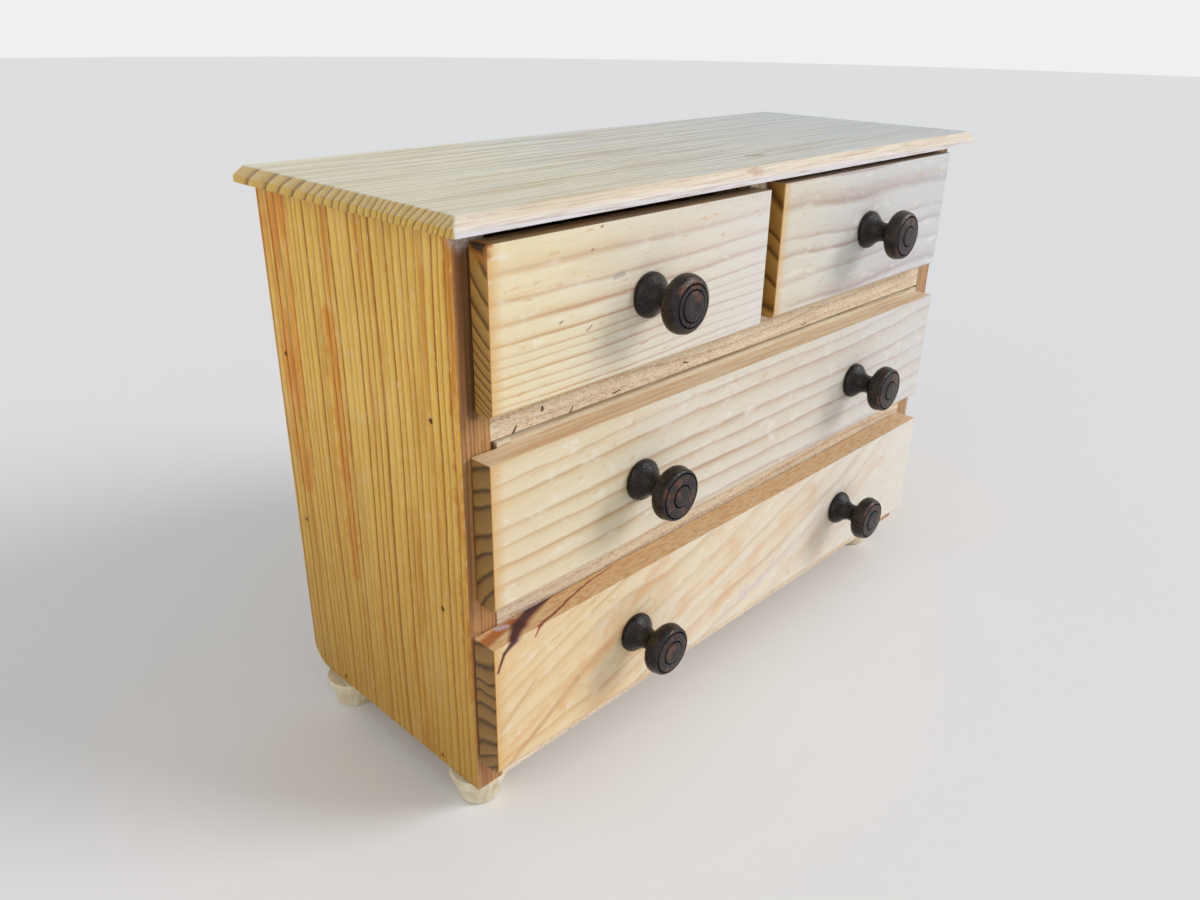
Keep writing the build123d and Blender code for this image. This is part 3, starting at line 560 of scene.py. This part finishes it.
# the bark: a purple-brown wedge on the front's top that runs down the face as a thin line,
# with orange wood between it and the end, a pale patch in it, and a thin red line beside
# it. Places are in mm from the face's upper left corner: along, back from it, and up.
corner = Vector((low.x, low.y, high.z))
BARK_STREAK = [((40.3, 11.5, 0.0), (26.3, 9.9, 0.0), (0.4, 2.4)),
               ((26.3, 9.9, 0.0), (16.8, 5.9, 0.0), (2.4, 3.0)),
               ((16.8, 5.9, 0.0), (9.3, 0.2, -0.3), (3.0, 1.6)),
               ((9.3, 0.0, -0.3), (4.9, 0.0, -3.5), (1.5, 0.9)),
               ((4.9, 0.0, -3.5), (1.7, 0.0, -10.1), (0.9, 0.5))]
RED_LINE = [((19.7, 0.0, -3.5), (21.8, 0.2, -0.3), (0.5, 1.0)),
            ((21.8, 0.2, -0.2), (31.6, 2.5, 0.0), (1.0, 0.9)),
            ((31.6, 2.5, 0.0), (40.5, 4.9, 0.0), (0.9, 0.8)),
            ((40.5, 4.9, 0.0), (54.5, 8.3, 0.0), (0.8, 0.6)),
            ((54.5, 8.3, 0.0), (71.3, 10.3, 0.0), (0.6, 0.3))]
ORANGE_WOOD = [((0.8, 5.7, -0.1), (16.3, 9.3, 0.0), (3.6, 2.8))]
PALE_PATCH = [((9.8, 9.3, 0.0), (13.3, 8.3, 0.0), (2.0, 1.5))]
for strokes, grow, wander, colour, strength in (
        (ORANGE_WOOD, 1.0, 0.8, "#B0622A", 0.85), (BARK_STREAK, 1.6, 1.6, "#8E4A2C", 0.65),
        (BARK_STREAK, 1.0, 1.6, "#4A2A30", 0.95), (PALE_PATCH, 1.0, 0.8, "#C9B8C6", 0.85),
        (RED_LINE, 1.0, 1.2, "#8E3E34", 0.85)):
    for start, stop, widths in strokes:
        widths = [width * grow for width in widths]
        stroke = line(tan_front, corner + Vector(start), corner + Vector(stop), widths, wander,
                      strength)
        stain(tan_front, stroke, colour)
# broad bands of orange and lilac wood that follow the slanting grain of the face: ends in
# mm from the face's lower left corner, half widths, colour and strength
for x, z, stop_x, stop_z, first, last, colour, strength in (
        (7.3, 6.6, 93.3, 48.6, 5.0, 10.4, "#DDA264", 0.50),
        (41.3, 1.6, 139.3, 40.6, 5.0, 11.7, "#DFA96E", 0.45),
        (101.3, 3.6, 201.3, 44.6, 4.0, 10.4, "#DFB080", 0.40),
        (119.3, 0.6, 229.3, 32.6, 3.0, 6.5, "#CDBBC2", 0.40),
        (189.3, 10.6, 269.3, 44.6, 4.0, 9.1, "#DDB48C", 0.35)):
    start = low + Vector((x, 0.0, z))
    stop = low + Vector((stop_x, 0.0, stop_z))
    band = line(tan_front, start, stop, (first, last), 14.0, strength)
    broken = patches(tan_front, (20.0, 6.0, 6.0), 0.30, 0.66, 1.0, start.x)
    stain(tan_front, band, colour, only=broken)
marked(tan_front, low, [
    (3.3, 0.4, 41.3, 22.3, 1.6, 2.2, "#B58252", 0.40),
    (41.3, 22.3, 66.6, 33.3, 2.2, 2.6, "#BA8C60", 0.32),
    (66.6, 33.3, 83.3, 40.0, 2.0, 1.4, "#C09468", 0.32),
    (2.3, 20.1, 19.3, 33.4, 1.8, 1.6, "#C08A50", 0.32)])
finish("bottom_front", tan_front)

# ---------------------------------------------------------------- drawer boxes
# Plain butted and pinned boxes of thin pine behind the fronts, planed and sanded. They
# were never oiled and seldom see the light, so they have stayed the palest wood.
BOX_YEAR = [(0.0, "#E0D5BC"), (0.55, "#D8CAAC"), (0.86, "#C0A884"), (1.0, "#E0D5BC")]
BOX_END = [(0.0, "#C2AC86"), (0.82, "#967A50"), (1.0, "#C2AC86")]
for drawer_seed, drawer in enumerate(("top_left", "top_right", "middle", "bottom")):
    for part_seed, part in enumerate(("front", "back", "left", "right", "bottom")):
        node_name = f"{drawer}_box_{part}"
        low = corners(node_name)[0]
        seed = 50.0 + 7 * drawer_seed + part_seed
        quarter_turn = radians(90.0) if part in ("left", "right") else 0.0
        box_board = pine("planed_pine_" + node_name, "X", (low.x, low.y - 20, low.z - 30), 3.5,
                         BOX_YEAR, BOX_END, slope=(0.0, quarter_turn), seed=seed, rough=0.65,
                         polish=0.18)
        mottle(box_board, (60.0, 20.0, 20.0), 0.48, 0.72, 0.3, seed, "#CCB892")
        finish(node_name, box_board)

# ---------------------------------------------------------------- turned knobs
# Small hardwood knobs, stained nearly black and rubbed through to brown where fingers pull.
# Two rings are turned on each face, drawn darker than the rest.
# places along a knob's axis, in mm, where its seat is 0 and the front is negative
NECK_ENDS = -12.5
RIM_STARTS = -16.5
FACE_STARTS = -19.3
FACE_FULL = -20.2
TOOL_RINGS = 3.3         # to the mm of radius


def stained_knob(node_name, groove, button, seed):
    """Dark stained, hand-worn turned hardwood round one knob's own axis.

    groove and button are the radii in mm of the two rings on its face.
    """
    low, high = corners(node_name)
    seat = Vector(((low.x + high.x) / 2, high.y, (low.z + high.z) / 2)) * MM
    made, tree, shader = fresh("stained_hardwood_" + node_name)
    own = add(tree, "Mapping", {"Vector": add(tree, "TexCoord", out="Object"),
                                "Location": seat, "Scale": (MM, MM, MM)}, vector_type="TEXTURE")
    knob = SimpleNamespace(material=made, tree=tree, shader=shader, log=own, place=own)
    flat = add(tree, "VectorMath", {0: own, 1: (1.0, 0.0, 1.0)}, operation="MULTIPLY")
    from_axis = add(tree, "VectorMath", {0: flat}, out="Value", operation="LENGTH")
    on_head = fade(knob, "Y", NECK_ENDS, RIM_STARTS, 0.0, 1.0)
    on_face = fade(knob, "Y", FACE_STARTS, FACE_FULL, 0.0, 1.0)
    grime = patches(knob, (1.1, 1.1, 1.1), 0.35, 0.70, 1.0, seed, detail=4.0)
    knob.colour = add(tree, "Mix", {"Factor": grime, "A": "#0C0807", "B": "#20160F"},
                      out="Result", data_type="RGBA")
    mottle(knob, (5.0, 5.0, 5.0), 0.42, 0.66, 0.60, seed + 4, "#41311C", only=on_head)
    stain(knob, 0.55, "#2E2628", only=on_face)
    mottle(knob, (5.0, 5.0, 5.0), 0.50, 0.66, 0.65, seed, "#70462F", only=on_face)
    mottle(knob, (2.0, 2.0, 2.0), 0.60, 0.72, 0.25, seed + 9, "#55555E")
    for ring in (groove, button):
        near = add(tree, "Math", {0: from_axis, 1: ring}, operation="SUBTRACT")
        near = add(tree, "Math", {0: near}, operation="ABSOLUTE")
        near = add(tree, "MapRange", {"Value": near, "From Min": 0.2, "From Max": 0.75,
                                      "To Min": 0.9, "To Max": 0.0})
        stain(knob, near, "#0E0A09", only=on_face)
    # fine ridges that the turning tool left
    tool = add(tree, "Math", {0: from_axis, 1: TOOL_RINGS}, operation="MULTIPLY")
    tool = add(tree, "TexNoise", {"W": tool, "Scale": 1.0, "Detail": 2.0}, noise_dimensions="1D")
    height = add(tree, "Math", {0: grime, 1: tool}, operation="ADD")
    bump = add(tree, "Bump", {"Height": height, "Distance": 0.13 * MM, "Strength": 0.7})
    gloss = add(tree, "MapRange", {"Value": grime, "To Min": 0.20, "To Max": 0.38})
    tree.links.new(bump, shader.inputs["Normal"])
    tree.links.new(gloss, shader.inputs["Roughness"])
    shader.inputs["IOR"].default_value = 1.5
    shader.inputs["Specular IOR Level"].default_value = 0.28
    coat(node_name, made)


for knob_name, groove, button, seed in (
        ("top_left_knob", 7.7, 5.7, 61.0), ("top_right_knob", 8.6, 4.4, 62.0),
        ("middle_knob_left", 9.0, 4.4, 63.0), ("middle_knob_right", 9.0, 4.4, 64.0),
        ("bottom_knob_left", 8.7, 4.9, 65.0), ("bottom_knob_right", 8.7, 4.9, 66.0)):
    stained_knob(knob_name, groove, button, seed)

# ---------------------------------------------------------------- floor, light and camera
# A pale plain paper floor in soft daylight from a window at the right, with some light
# from the room at the left. The chest is seen from the photograph's side.
# the CAD nodes come in selected
for thing in bpy.context.selected_objects:
    thing.select_set(False)
bpy.ops.mesh.primitive_circle_add(vertices=96, radius=6.0, fill_type="NGON", location=(0, 0, 0))
floor = bpy.context.object
floor.name = "studio_floor"
paper, tree, shader = fresh("pale_paper_floor")
shader.inputs["Roughness"].default_value = 0.9
shader.inputs["Specular IOR Level"].default_value = 0.1
shader.inputs["Base Color"].default_value = linear("#F1F0EE")
floor.data.materials.append(paper)

world = bpy.data.worlds.new("soft_room")
bpy.context.scene.world = world
world.use_nodes = True
tree = world.node_tree
tree.nodes.clear()
# the camera, and what mirrors or lets light through, see a pale wall behind the chest
ray = add(tree, "LightPath", out=None).outputs
seen = add(tree, "Math", {0: ray["Is Camera Ray"], 1: ray["Is Glossy Ray"]}, operation="MAXIMUM")
seen = add(tree, "Math", {0: seen, 1: ray["Is Transmission Ray"]}, operation="MAXIMUM")
room = add(tree, "Background", {"Color": "#F2F5FA", "Strength": 0.56})
wall = add(tree, "Background", {"Color": "#F0F0EF", "Strength": 1.0})
mixed = add(tree, "MixShader", {0: seen, 1: room, 2: wall})
add(tree, "OutputWorld", {"Surface": mixed}, out=None)


def daylight(name, toward, strength, softness, tint):
    """Daylight from one side, as soft as a patch of sky softness degrees across."""
    lamp = bpy.data.lights.new(name, "SUN")
    lamp.energy = strength
    lamp.angle = radians(softness)
    lamp.color = linear(tint)[:3]
    holder = bpy.data.objects.new(name, lamp)
    bpy.context.scene.collection.objects.link(holder)
    look = Vector(toward).to_track_quat("Z", "Y")
    holder.matrix_world = Matrix.LocRotScale(Vector(toward), look, None)


daylight("window_right", (0.95, -1.0, 0.75), 1.7, 25.0, "#F6F8FF")
daylight("room_left", (-1.0, -0.5, 0.5), 0.6, 60.0, "#FFFAF2")

# the camera's place in metres, and its tilt, roll and turn in degrees
EYE = (-0.33314, -0.27287, 0.29152)
TILT = 65.2596
ROLL = -0.8503
TURN = -45.7735
lens = bpy.data.cameras.new("photograph_view")
lens.lens = 28.815
lens.sensor_width = 36.0
lens.clip_start = 0.01
camera = bpy.data.objects.new("photograph_view", lens)
bpy.context.scene.collection.objects.link(camera)
camera.location = EYE
camera.rotation_euler = [radians(angle) for angle in (TILT, ROLL, TURN)]
bpy.context.scene.camera = camera

bpy.context.scene.view_settings.view_transform = "Standard"

bpy.context.view_layer.update()
